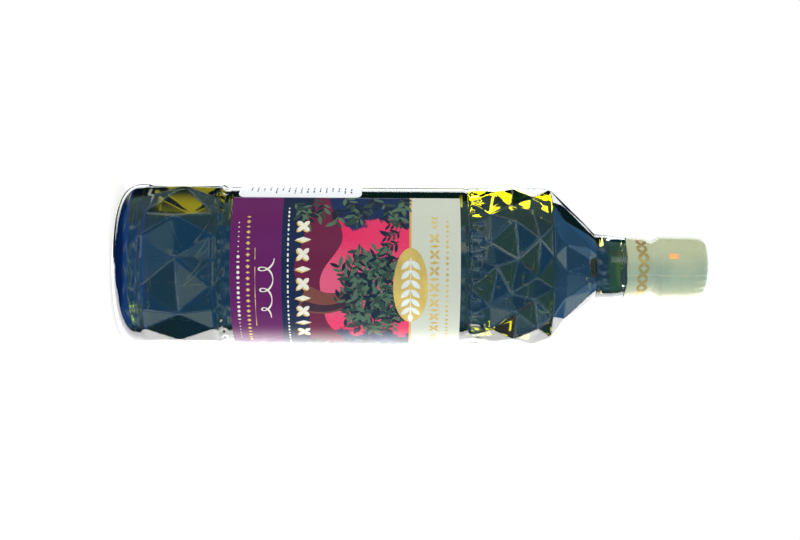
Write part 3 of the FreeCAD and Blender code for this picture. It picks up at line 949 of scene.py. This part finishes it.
class Label:
    """The front label with its generic print, and the white sticker beside it.

    Places of the print are millimetres along the label from its middle and up from its foot.
    """

    columns = 97

    def __init__(self, sizes: LabelSizes) -> None:
        """Keeps the sizes and starts the same random choices every time."""
        self.sizes = sizes
        self.chance = np.random.default_rng(7)

    def sheet(self, name: str, turns: Span, foot: float, tall: float, corner: float) -> bpy.types.Object:
        """A thin sheet on the panel; each row is shortened where the corners are round."""
        s = self.sizes
        first, last = turns
        end = np.linspace(0, corner, 8)
        rows = np.unique(np.concatenate([end, np.linspace(corner, tall - corner, 40), tall - end]))
        near = np.clip(corner - np.minimum(rows, tall - rows), 0, corner)
        cut = corner - np.sqrt(np.maximum(corner**2 - near**2, 0))
        cut = np.degrees(cut / s.radius)[:, None]
        share = np.linspace(0, 1, self.columns)[None, :]
        angle = first + cut + (last - first - 2 * cut) * share
        points = wrapped(angle, self.flat(angle), (foot + rows)[:, None])
        uv = np.stack(np.broadcast_arrays((angle - first) / (last - first), rows[:, None] / tall), -1)
        piece = lay_mesh(name, points, grid_faces(len(rows), self.columns, False), uv)
        outward(piece)
        solid = piece.modifiers.new("paper", "SOLIDIFY")
        solid.thickness = s.thick * MM
        solid.offset = -1
        solid.material_offset = 1
        return piece

    def flat(self, height: Array) -> Array:
        """The panel's radius, the same at every height."""
        return np.full(np.shape(height), self.sizes.radius)

    def build(self) -> list[bpy.types.Object]:
        """Makes the label, its print and foil, the sticker and its marks."""
        s = self.sizes
        last = -s.half_angle - s.sticker_gap
        turns = (last - s.sticker_angle, last)
        front = self.sheet("label_look", (-s.half_angle, s.half_angle), s.foot, s.tall, 0.01)
        back = self.sheet("sticker_look", turns, s.sticker_foot, s.sticker_tall, s.sticker_round)
        paper = PaperFinish().material()
        front.data.materials.append(LabelFinish(s).material())
        back.data.materials.append(paper)
        named = ((front, "front_label", "label_paper"), (back, "side_sticker", "sticker_paper"))
        for piece, node, slot in named:
            piece.data.materials.append(paper)
            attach(piece, "root")
            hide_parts(node)
        prints = (
            ("label_ink", self.inks(), PrintFinish("ink", 0.0, 0.35)),
            # The foil's last number is the strength of its painted sheen.
            ("label_foil", self.foils(), PrintFinish("gold_foil", 0.2, 0.35, 0.14)),
            ("sticker_marks", self.marks(*turns), PrintFinish("grey_ink", 0.0, 0.6)),
        )
        marked = [printed(name, shapes, self.flat, look.material()) for name, shapes, look in prints]
        return [front, back, *marked]

    def spray(self, start: Array, way: Array, sag: float, size: float, inks: Sequence[Ink]) -> list[Shape]:
        """A twig from start along a way that sags sideways, with leaves in pairs along it."""
        t = np.linspace(0, 1, 26)
        reach = np.linalg.norm(way)
        side = np.array([-way[1], way[0]]) / reach
        curve = start + np.outer(t, way) + np.outer(sag * np.sin(math.pi * t), side)
        made = [Shape(q, Ink.BARK_DARK, 1) for q in ribbon(curve, 0.5 * (1.2 - t))]
        count = max(3, int(reach / (0.42 * size)))
        for k in range(count):
            at = int((k + 0.5) / count * 25)
            step = curve[min(at + 1, 25)] - curve[max(at - 1, 0)]
            heading = math.degrees(math.atan2(step[1], step[0]))
            for hand in (-1, 1):
                turn = heading + hand * (38 + 14 * self.chance.random())
                long = size * (0.75 + 0.5 * self.chance.random())
                tip = curve[at] + long / 2 * pointing(turn)
                ink = inks[int(self.chance.integers(len(inks)))]
                outline = leaf(*tip, long, long * 0.34, turn)
                made.append(Shape(outline, ink, 1.6 + self.chance.random()))
        return made

    def inks(self) -> list[Shape]:
        """The inked print: hills, an olive tree, sprays and rows of cream ornaments."""
        return self.hills() + self.tree() + self.side_sprays() + self.ornaments()

    def hills(self) -> list[Shape]:
        """Two rows of hills from the foot of the picture up."""
        s = self.sizes
        edge = math.radians(s.half_angle) * s.radius - 0.5
        x = np.linspace(-edge, edge, 96)
        foot = np.stack([x, np.full(len(x), s.foot + s.purple_top + 0.2)], -1)
        made: list[Shape] = []
        for level, swell, ink, layer in ((42, 4.5, Ink.MAROON, 0.6), (31, 3.0, Ink.DUSK, 0.9)):
            height = s.foot + level + swell * np.sin(x / 9 + level) + 1.2 * np.sin(x / 4.1)
            crest = np.stack([x, height], -1)
            columns = zip(foot, foot[1:], crest[1:], crest)
            made += [Shape(np.array(q), ink, layer) for q in columns]
        return made

    def tree(self) -> list[Shape]:
        """The olive tree: a bent trunk with a shaded side, and a round crown of sprays."""
        z0 = self.sizes.foot
        t = np.linspace(0, 1, 30)
        trunk = np.stack([5 + 3.4 * np.sin(3.4 * t) - 2 * t, z0 + 30 + 25 * t], -1)
        made = [Shape(q, Ink.BARK, 1.2) for q in ribbon(trunk, 13 - 7 * t, 9)]
        shade = trunk + np.stack([3.2 - 1.8 * t, 0 * t], -1)
        made += [Shape(q, Ink.BARK_DARK, 1.5) for q in ribbon(shade, 4.4 - 2.5 * t, 3)]
        count = 44
        for k in range(count):
            turn = 2.4 * k
            reach = 16 * math.sqrt((k + 0.5) / count)
            mid = np.array([4 + 1.2 * reach * math.cos(turn), z0 + 59 + 0.75 * reach * math.sin(turn)])
            way = np.array([math.cos(turn * 1.7), math.sin(turn * 1.7)]) * 5
            made += self.spray(mid - way, 2 * way, 1.0, 4.2, OLIVE)
        return made

    def side_sprays(self) -> list[Shape]:
        """Sprays up the left edge of the picture, up its right edge and down from its top."""
        z0 = self.sizes.foot
        made: list[Shape] = []
        for k in range(12):
            spot = np.array([-40 + 4.5 * math.sin(2.1 * k), z0 + 26 + 4.2 * k])
            made += self.spray(spot, np.array([9.0, 3.5 * math.cos(1.3 * k)]), 1.5, 4.6, OLIVE)
        for k in range(9):
            spot = np.array([41 - 2.5 * math.sin(1.7 * k), z0 + 28 + 5.4 * k])
            made += self.spray(spot, np.array([-7.5, 3 * math.cos(k)]), -1.2, 4.0, OLIVE)
        for k in range(9):
            spot = np.array([-30 + 5.5 * k + 2 * math.sin(3 * k), z0 + 73 - 2.2 * math.sin(0.7 * k)])
            made += self.spray(spot, np.array([2.5, -7.0]), 0.8, 3.8, OLIVE[:2])
        return made

    def ornaments(self) -> list[Shape]:
        """A frieze of petals and lozenges, a row of dashes, a looping line and a row of dots."""
        z0 = self.sizes.foot
        made: list[Shape] = []
        for k in range(9):
            for shift, ink, layer in ((0.5, Ink.GOLD, 2.7), (0, Ink.CREAM, 3.0)):
                spot = np.array([-26.5 + 6.3 * k + shift, z0 + 30.8 - shift])
                outlines = [diamond(*spot, 2.4, 6.6)] if k % 2 else petals(spot, 1.75, 3.5, 2.0)
                made += [Shape(outline, ink, layer) for outline in outlines]
        rows = [bar(-36 + 2.25 * k, z0 + 24.4, 1.5 if k % 3 else 0.8, 0.75) for k in range(33)]
        t = np.linspace(0, 1, 120)
        loop = 6 * math.pi * t
        x = -12 + 27 * t + 2.6 * np.sin(loop)
        curve = np.stack([x, z0 + 15.3 + (3.4 - 1.6 * t) * np.cos(loop)], -1)
        rows += ribbon(curve, 0.35 + 0.4 * np.sin(9 * math.pi * t) ** 2)
        for k in range(27):
            spot = (-28 + 2.2 * k, z0 + 3.5)
            dash = bar(*spot, 1.4 if k % 4 else 0.7, 1.3)
            rows.append(dash if 6 < k < 21 else ellipse(*spot, 0.6, 0.6, count=10))
        return made + [Shape(outline, Ink.CREAM, 3) for outline in rows]

    def foils(self) -> list[Shape]:
        """The gold foil: an oval with a cream sprig, rules and small rows."""
        z0 = self.sizes.foot
        middle = z0 + 76
        sprig = [bar(0, middle, 25, 0.7)]
        for k in range(6):
            for hand in (-1, 1):
                sprig.append(leaf(-9.5 + 4.1 * k, middle + 2.1 * hand, 5.4, 2.3, 45 * hand))
        sprig.append(leaf(14.6, middle, 5.0, 2.2, 0))
        gold = [bar(x, z0 + 10.6, long, 0.4) for x, long in ((-14, 5.0), (-1.6, 13.5), (12.8, 14.5))]
        for k in range(26):
            gold.append(diamond(-31 + 2.5 * k, z0 + 7.6, 1.7 if k % 2 else 1.0, 1.9))
            gold.append(diamond(-29 + 2.35 * k, z0 + 91.4, 1.5 if k % 3 else 0.8, 1.6))
        row = z0 + 86.0
        for k in range(13):
            x = -21 + 3.5 * k
            if k % 2:
                gold.append(diamond(x, row, 1.3, 4.4))
                continue
            for h, v in ((-1, -1), (-1, 1), (1, -1), (1, 1)):
                gold.append(leaf(x + h * 0.95, row + v * 1.05, 2.7, 1.15, h * v * 45))
        for hand in (-1, 1):
            for k in range(3):
                for up in (1, -1):
                    x = hand * (26.5 + 2.2 * k)
                    gold.append(leaf(x, row + 0.6 * up, 2.4, 0.7, up * hand * 35))
        oval = Shape(ellipse(0, middle, 33.5, 14.6, count=64), Ink.GOLD, 4)
        rows = [Shape(outline, Ink.GOLD, 3) for outline in gold]
        return [oval, *(Shape(outline, Ink.CREAM, 5) for outline in sprig), *rows]

    def marks(self, first: float, last: float) -> list[Shape]:
        """Short grey dashes in lines across the sticker, with gaps by chance."""
        s = self.sizes
        arc = math.radians(1) * s.radius
        gap = 0.9
        made = []
        for row in range(17):
            x, end = first * arc + 5, last * arc - 3.5
            z = s.sticker_foot + s.sticker_tall - 4.5 - 2.7 * row
            while x < end:
                long = 0.8 + 3.2 * self.chance.random()
                if x + long < end and self.chance.random() < 0.9:
                    made.append(Shape(bar(x + long / 2, z, long, 0.7), Ink.GREY, 1))
                x += long + gap
        return made


# ------------------------------------------------------------------ capsule


class Capsule:
    """The shrunk capsule with its seam, pleats, wavy foot and gold ring of petals."""

    columns = 288
    seam = -42.0

    def __init__(self, sizes: CapsuleSizes, bottle: BottleSizes) -> None:
        """Keeps the sizes."""
        self.sizes = sizes
        self.bottle = bottle

    def outside(self) -> Array:
        """The outer profile from the foot up to the middle of the crown."""
        s, b = self.sizes, self.bottle
        corners = [
            (b.neck_r + s.film, s.foot, 0),
            (b.neck_r + s.film - 0.35, s.foot + 4.5, 2),
            (b.mouth_r + s.film + 0.1, s.pinch_z - 3.2, 2),
            (s.pinch_r, s.pinch_z, 1.6),
            (s.head_r, s.head_foot, 0.7),
            (s.head_r + 0.02, s.head_foot + 3, 2),
            (s.head_top_r, s.top - 0.45, s.head_round),
            (s.crown_r, s.top - 0.45, 0.2),
            (s.crown_r - 0.5, s.top, 0.2),
            (0, s.top, 0),
        ]
        return densified(rounded_path(corners, 7), 0.8)

    def radius_at(self, height: Array) -> Array:
        """The outer radius at heights on the skirt and the head."""
        path = self.outside()
        rising = path[path[:, 1] < self.sizes.top - 4]
        return np.interp(height, rising[:, 1], rising[:, 0]) + 0.04

    def inside(self) -> Array:
        """The inner profile from the middle of the mouth down round the neck to the foot."""
        s, b = self.sizes, self.bottle
        corners = [
            (0, b.mouth_z + 0.1),
            (b.mouth_r - 1.2, b.mouth_z + 0.1),
            (b.mouth_r + 0.05, b.mouth_z - 1.2),
            (b.neck_r + 0.05, s.foot),
        ]
        return densified(np.array(corners), 2.0)

    def wavy(self, height: Array, turn: Array) -> Array:
        """The heights, with the foot of the skirt cut in a slow wave."""
        s = self.sizes
        low = np.clip(1 - (height - s.foot) / 7, 0, 1) * (height < s.foot + 7)
        wave = 0.75 * np.sin(turn + 3.4) + 0.4 * np.sin(2 * turn + 0.6) + 0.15 * np.sin(7 * turn)
        return height + low * (wave + 0.5)

    def shrunk(self, radius: Array, height: Array, angle: Array) -> Array:
        """The outer radius with pleats under the crown, the drawn pinch and the lapped seam."""
        s = self.sizes
        turn = np.radians(angle)
        pleat = np.exp(-(((height - s.top + 3.6) / 1.8) ** 2)) * (radius > s.crown_r)
        fold = np.sin(23 * turn + 2 * np.sin(3 * turn)) * (0.5 + 0.5 * np.sin(2 * turn + 2))
        radius = radius - 0.22 * pleat * (fold + 1)
        drawn = np.exp(-(((height - s.pinch_z) / 2.0) ** 2))
        radius = radius - 0.1 * drawn * (1 + np.sin(11 * turn + np.sin(2 * turn)))
        past = (angle - self.seam) % 360
        lap = np.clip(past / 1.5, 0, 1) * np.clip((360 - past) / 0.8, 0, 1)
        lapped = radius - 0.12 * (1 - lap) - 0.06 * (past > 340)
        return np.where(radius > s.crown_r + 1, lapped, radius)

    def build(self) -> list[bpy.types.Object]:
        """Makes the capsule, its gold marks and its tag."""
        inner = self.inside()
        path = np.vstack([inner, self.outside()])
        angle = around(self.columns)[None, :]
        radius, height = swept(path, self.columns)
        height = self.wavy(height, np.radians(angle))
        radius[len(inner):] = self.shrunk(radius[len(inner):], height[len(inner):], angle)
        piece = lathe("capsule_look", radius, height)
        piece.data.materials.append(CapsuleFinish().material())
        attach(piece, "root")
        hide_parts("capsule")
        gold = PrintFinish("capsule_gold", 0.5, 0.3).material()
        copper = PrintFinish("copper_ink", 0.0, 0.4).material()
        marks = printed("capsule_marks", self.marks(), self.radius_at, gold)
        tag = printed("capsule_tag", self.tag(), self.radius_at, copper)
        return [piece, marks, tag]

    def marks(self) -> list[Shape]:
        """A chain of rings, each of four petals round a star-shaped gap, a step up past the seam."""
        radius = float(self.radius_at(np.array([227.0]))[0])
        count, ring = 17, 2.45
        made = []
        for k in range(count):
            along = 2 * math.pi * radius * (k + 0.35) / count
            height = 227.2 + (0.5 if math.degrees(along / radius) > 360 + self.seam else 0.0)
            along -= 2 * math.pi * radius * (along > math.pi * radius)
            middle = np.array([along, height])
            outlines = petals(middle, 0.68 * ring, 1.42 * ring, 0.62 * ring, 90)
            made += [Shape(outline, Ink.BRONZE, 2) for outline in outlines]
        return made

    def tag(self) -> list[Shape]:
        """A small copper mark beside the seam."""
        place = math.radians(self.seam + 5.5) * self.sizes.head_r
        corners = np.array([(-1.3, -2.1), (1.3, -2.1), (1.3, 2.1), (-1.3, 2.1)])
        return [Shape(corners + (place, 240.7), Ink.COPPER, 5)]


# ------------------------------------------------------------------ stage


@dataclass(frozen=True)
class Softbox:
    """A bright window in the surroundings: degrees to the right of straight behind, and up."""

    first: float
    last: float
    low: float
    high: float
    light: Colour
    soft: float = 3.0
    through: bool = False

    def inside(self, make: Dressing, turn, rise) -> bpy.types.NodeSocket:
        """One in the window and none past its soft edges; those above and below are sharper."""
        sharp = self.soft / 3
        return make.times(
            make.window(turn, self.first - self.soft, self.first, self.last, self.last + self.soft),
            make.window(rise, self.low - sharp, self.low, self.high, self.high + sharp),
        )


SOFTBOXES = (
    Softbox(0, 67, -70, 46, (5.5, 5.5, 5.5), 4.0),
    Softbox(-36, -21, -60, 28, (3.0, 3.2, 3.2), 4.0),
    Softbox(-112, -76, -30, 30, (0.45, 0.75, 0.90), 14.0),
    Softbox(-156, -146, 4, 22, (2.2, 2.6, 2.6)),
    Softbox(10, 72, -22, 10, (3.0, 3.0, 3.0), 4.0, True),
)


@dataclass(frozen=True)
class CardPatch:
    """A lit rectangle on the dark card: millimetres to the right and above the foot.

    Its left edge fades over the distance soft either way, and the others over fixed distances.
    """

    left: float
    right: float
    low: float
    high: float
    light: Colour
    soft: float = 3.0

    right_soft = 3.0
    level_soft = 2.0

    def inside(self, make: Dressing, across, up) -> bpy.types.NodeSocket:
        """One in the patch and none past its soft edges, from places in metres."""
        left = ((self.left - self.soft) * MM, (self.left + self.soft) * MM)
        right = ((self.right - self.right_soft) * MM, (self.right + self.right_soft) * MM)
        low = ((self.low - self.level_soft) * MM, (self.low + self.level_soft) * MM)
        high = ((self.high - self.level_soft) * MM, (self.high + self.level_soft) * MM)
        return make.times(make.window(across, *left, *right), make.window(up, *low, *high))


CARD_PATCHES = (
    CardPatch(-300, 300, 205, 275, (0.006, 0.035, 0.012)),
    CardPatch(-300, 300, 217.5, 275, (0.045, 0.085, 0.0)),
    CardPatch(70, 150, 151, 187, (3.0, 2.8, 3.0)),
    CardPatch(150, 900, 157, 196, (3.0, 3.0, 3.0)),
    CardPatch(96, 900, -300, 28, (0.38, 0.35, 0.27), 26),
    CardPatch(150, 900, 290, 900, (0.4, 0.4, 0.4)),
    CardPatch(-112, -84, 157, 170, (1.4, 1.4, 1.4)),
)


@dataclass(frozen=True)
class Studio:
    """Floor, card, surroundings and camera: lengths in millimetres, plates in metres."""

    azimuth: float = -15.0
    distance: float = 700.0
    eye: float = 122.0
    aside: float = 1.6
    lens: float = 71.4
    roll: float = 0.36
    floor_reach: float = 6.0
    card_distance: float = 150.0
    card_edges: tuple[float, float, float, float] = (-0.45, 0.32, -0.2, 0.5)
    behind: Colour = (0.003, 0.013, 0.07)
    before: Colour = (0.20, 0.62, 1.45)
    before_high: Colour = (0.60, 1.30, 2.3)
    before_low: Colour = (0.10, 0.70, 2.3)
    before_green: Colour = (0.38, 0.92, 1.05)
    before_pale: Colour = (1.3, 1.9, 2.4)
    before_warm: Colour = (0.85, 0.55, 0.9)

    def axes(self) -> tuple[Vector, Vector]:
        """Level ways straight behind the bottle and to its right, as the camera sees it."""
        a = math.radians(self.azimuth)
        return Vector((-math.sin(a), math.cos(a), 0)), Vector((math.cos(a), math.sin(a), 0))

    @staticmethod
    def plate(name: str, corners: Sequence[tuple], make: Dressing) -> bpy.types.Object:
        """A flat plate with four corners in metres, linked to the scene."""
        mesh = bpy.data.meshes.new(name)
        mesh.from_pydata(corners, [], [(0, 1, 2, 3)])
        mesh.materials.append(make.material)
        thing = bpy.data.objects.new(name, mesh)
        bpy.context.scene.collection.objects.link(thing)
        return thing

    def floor(self) -> None:
        """A pale floor that only the camera and soft light see."""
        make = Dressing("floor")
        make.glow(0.25, (1, 1, 1, 1), 0.8)
        far = self.floor_reach
        corners = [(-far, -far, 0), (far, -far, 0), (far, far, 0), (-far, far, 0)]
        thing = self.plate("floor", corners, make)
        thing.visible_glossy = thing.visible_transmission = False

    def card(self) -> None:
        """The dark card close behind the bottle, which only rays through the glass see."""
        make = Dressing("card")
        place = make.node("ShaderNodeTexCoord").outputs["Object"]
        across, _, up = make.node("ShaderNodeSeparateXYZ", {0: place}).outputs
        total = self.behind
        for patch in CARD_PATCHES:
            total = make.mix(patch.inside(make, across, up), total, patch.light)
        make.glow(0.0, total, 1.0)
        left, right, low, high = self.card_edges
        corners = [(left, 0, low), (right, 0, low), (right, 0, high), (left, 0, high)]
        thing = self.plate("card", corners, make)
        thing.rotation_euler[2] = math.radians(self.azimuth)
        thing.location = self.axes()[0] * self.card_distance * MM
        thing.visible_camera = thing.visible_diffuse = thing.visible_shadow = False
        thing.visible_glossy = False

    def ahead(self, make: Dressing, way, rise) -> bpy.types.NodeSocket:
        """The room before the bottle, blue to green in clouds, which the glass mirrors."""
        cloud = make.noise(4.2, 0.0, way)
        high = make.window(rise, 4, 10, 24, 40)
        light = make.mix(make.span(cloud, 0.45, 0.55), self.before, self.before_high)
        light = make.mix(high, light, self.before_green)
        light = make.mix(make.span(rise, -12, -3, 0.5, 0.0), light, self.before_low)
        light = make.mix(make.span(cloud, 0.62, 0.67), light, self.before_pale)
        warm = make.times(high, make.span(cloud, 0.30, 0.33, 1.0, 0.0))
        return make.mix(warm, light, self.before_warm)

    @staticmethod
    def lamp(make: Dressing, turn, to_right) -> bpy.types.NodeSocket:
        """What lights the paper: brightest right of straight behind, and warmer on the left."""
        inputs = {0: to_right, 1: -1.0, 2: 1.0, 3: 1.12, 4: 1.22}
        bright = make.node("ShaderNodeMapRange", inputs).outputs[0]
        bright = make.times(bright, make.span(make.math("ABSOLUTE", turn), 60, 150, 1.25, 0.68))
        bright = make.math("ADD", bright, make.times(3.5, make.window(turn, 5, 15, 60, 98)))
        blue = make.times(bright, make.span(turn, -110, -30, 0.9, 1.0))
        return make.node("ShaderNodeCombineColor", {0: bright, 1: bright, 2: blue}).outputs[0]

    def surroundings(self) -> None:
        """White for the camera; dark behind the bottle, with softboxes beside and before it."""
        world = bpy.data.worlds.new("studio")
        bpy.context.scene.world = world
        world.use_nodes = True
        make = Dressing.of(world.node_tree)
        way = make.node("ShaderNodeTexCoord").outputs["Generated"]
        to_behind, to_right, to_up = (
            make.node("ShaderNodeVectorMath", {0: way, 1: axis}, operation="DOT_PRODUCT").outputs[1]
            for axis in (*self.axes(), (0, 0, 1))
        )
        turn = make.times(make.math("ARCTAN2", to_right, to_behind), math.degrees(1))
        rise = make.times(make.math("ARCSINE", to_up), math.degrees(1))
        front = make.times(make.span(make.math("ABSOLUTE", turn), 66, 96), make.span(rise, -60, -35))
        front = make.math("MAXIMUM", front, make.span(rise, 36, 50))
        total = make.mix(front, self.behind, self.ahead(make, way, rise))
        through = self.behind
        for box in SOFTBOXES:
            inside = box.inside(make, turn, rise)
            if box.through:
                through = make.mix(inside, through, box.light)
            else:
                total = make.mix(inside, total, box.light)
        path = make.node("ShaderNodeLightPath").outputs
        seen = make.mix(path["Is Transmission Ray"], total, through)
        seen = make.mix(path["Is Diffuse Ray"], seen, self.lamp(make, turn, to_right))
        seen = make.mix(path["Is Camera Ray"], seen, (1.0, 1.0, 1.0))
        light = make.node("ShaderNodeBackground", {0: seen, 1: 1.0})
        out = make.node("ShaderNodeOutputWorld")
        make.tree.links.new(light.outputs[0], out.inputs[0])

    def camera(self) -> None:
        """The camera, level with the middle of the bottle and turned on its side."""
        roll = math.radians(self.roll)
        behind, right = self.axes()
        up = Vector((0, 0, 1))
        across = math.cos(roll) * up - math.sin(roll) * right
        over = -math.sin(roll) * up - math.cos(roll) * right
        data = bpy.data.cameras.new("camera")
        data.lens, data.sensor_width = self.lens, 36.0
        data.clip_start, data.clip_end = 0.05, 50
        thing = bpy.data.objects.new("camera", data)
        place = (right * self.aside + up * self.eye - behind * self.distance) * MM
        turn = Matrix((across, over, -behind)).transposed().to_4x4()
        thing.matrix_world = Matrix.Translation(place) @ turn
        bpy.context.scene.collection.objects.link(thing)
        bpy.context.scene.camera = thing

    def build(self) -> None:
        """Sets the whole stage."""
        self.floor()
        self.card()
        self.surroundings()
        self.camera()
        scene = bpy.context.scene
        scene.view_settings.view_transform = "Standard"
        scene.cycles.max_bounces = 24
        scene.cycles.transmission_bounces = 24
        scene.cycles.glossy_bounces = 8


def main() -> None:
    """Builds every piece in order, dresses it and sets the stage."""
    logging.basicConfig(level=logging.INFO)
    bottle = BottleSizes()
    glass = Glass(bottle)
    clear = ClearFinish(
        "clear_glass", 1.52, (0.98, 0.995, 0.99), (0.70, 0.93, 0.90), 9.0, 1.52 / 1.47, 0.03, 0.06
    )
    gold_oil = ClearFinish("olive_oil", 1.47, (1.0, 1.0, 0.96), (0.984, 0.972, 0.10), 150.0, 1.0)
    made = [glass.build(clear.material()), Oil(glass).build(gold_oil.material())]
    made += Label(LabelSizes()).build()
    made += Capsule(CapsuleSizes(), bottle).build()
    for piece in made:
        log.info("%s: %d faces", piece.name, len(piece.data.polygons))
    Studio().build()


if __name__ == "__main__":
    main()
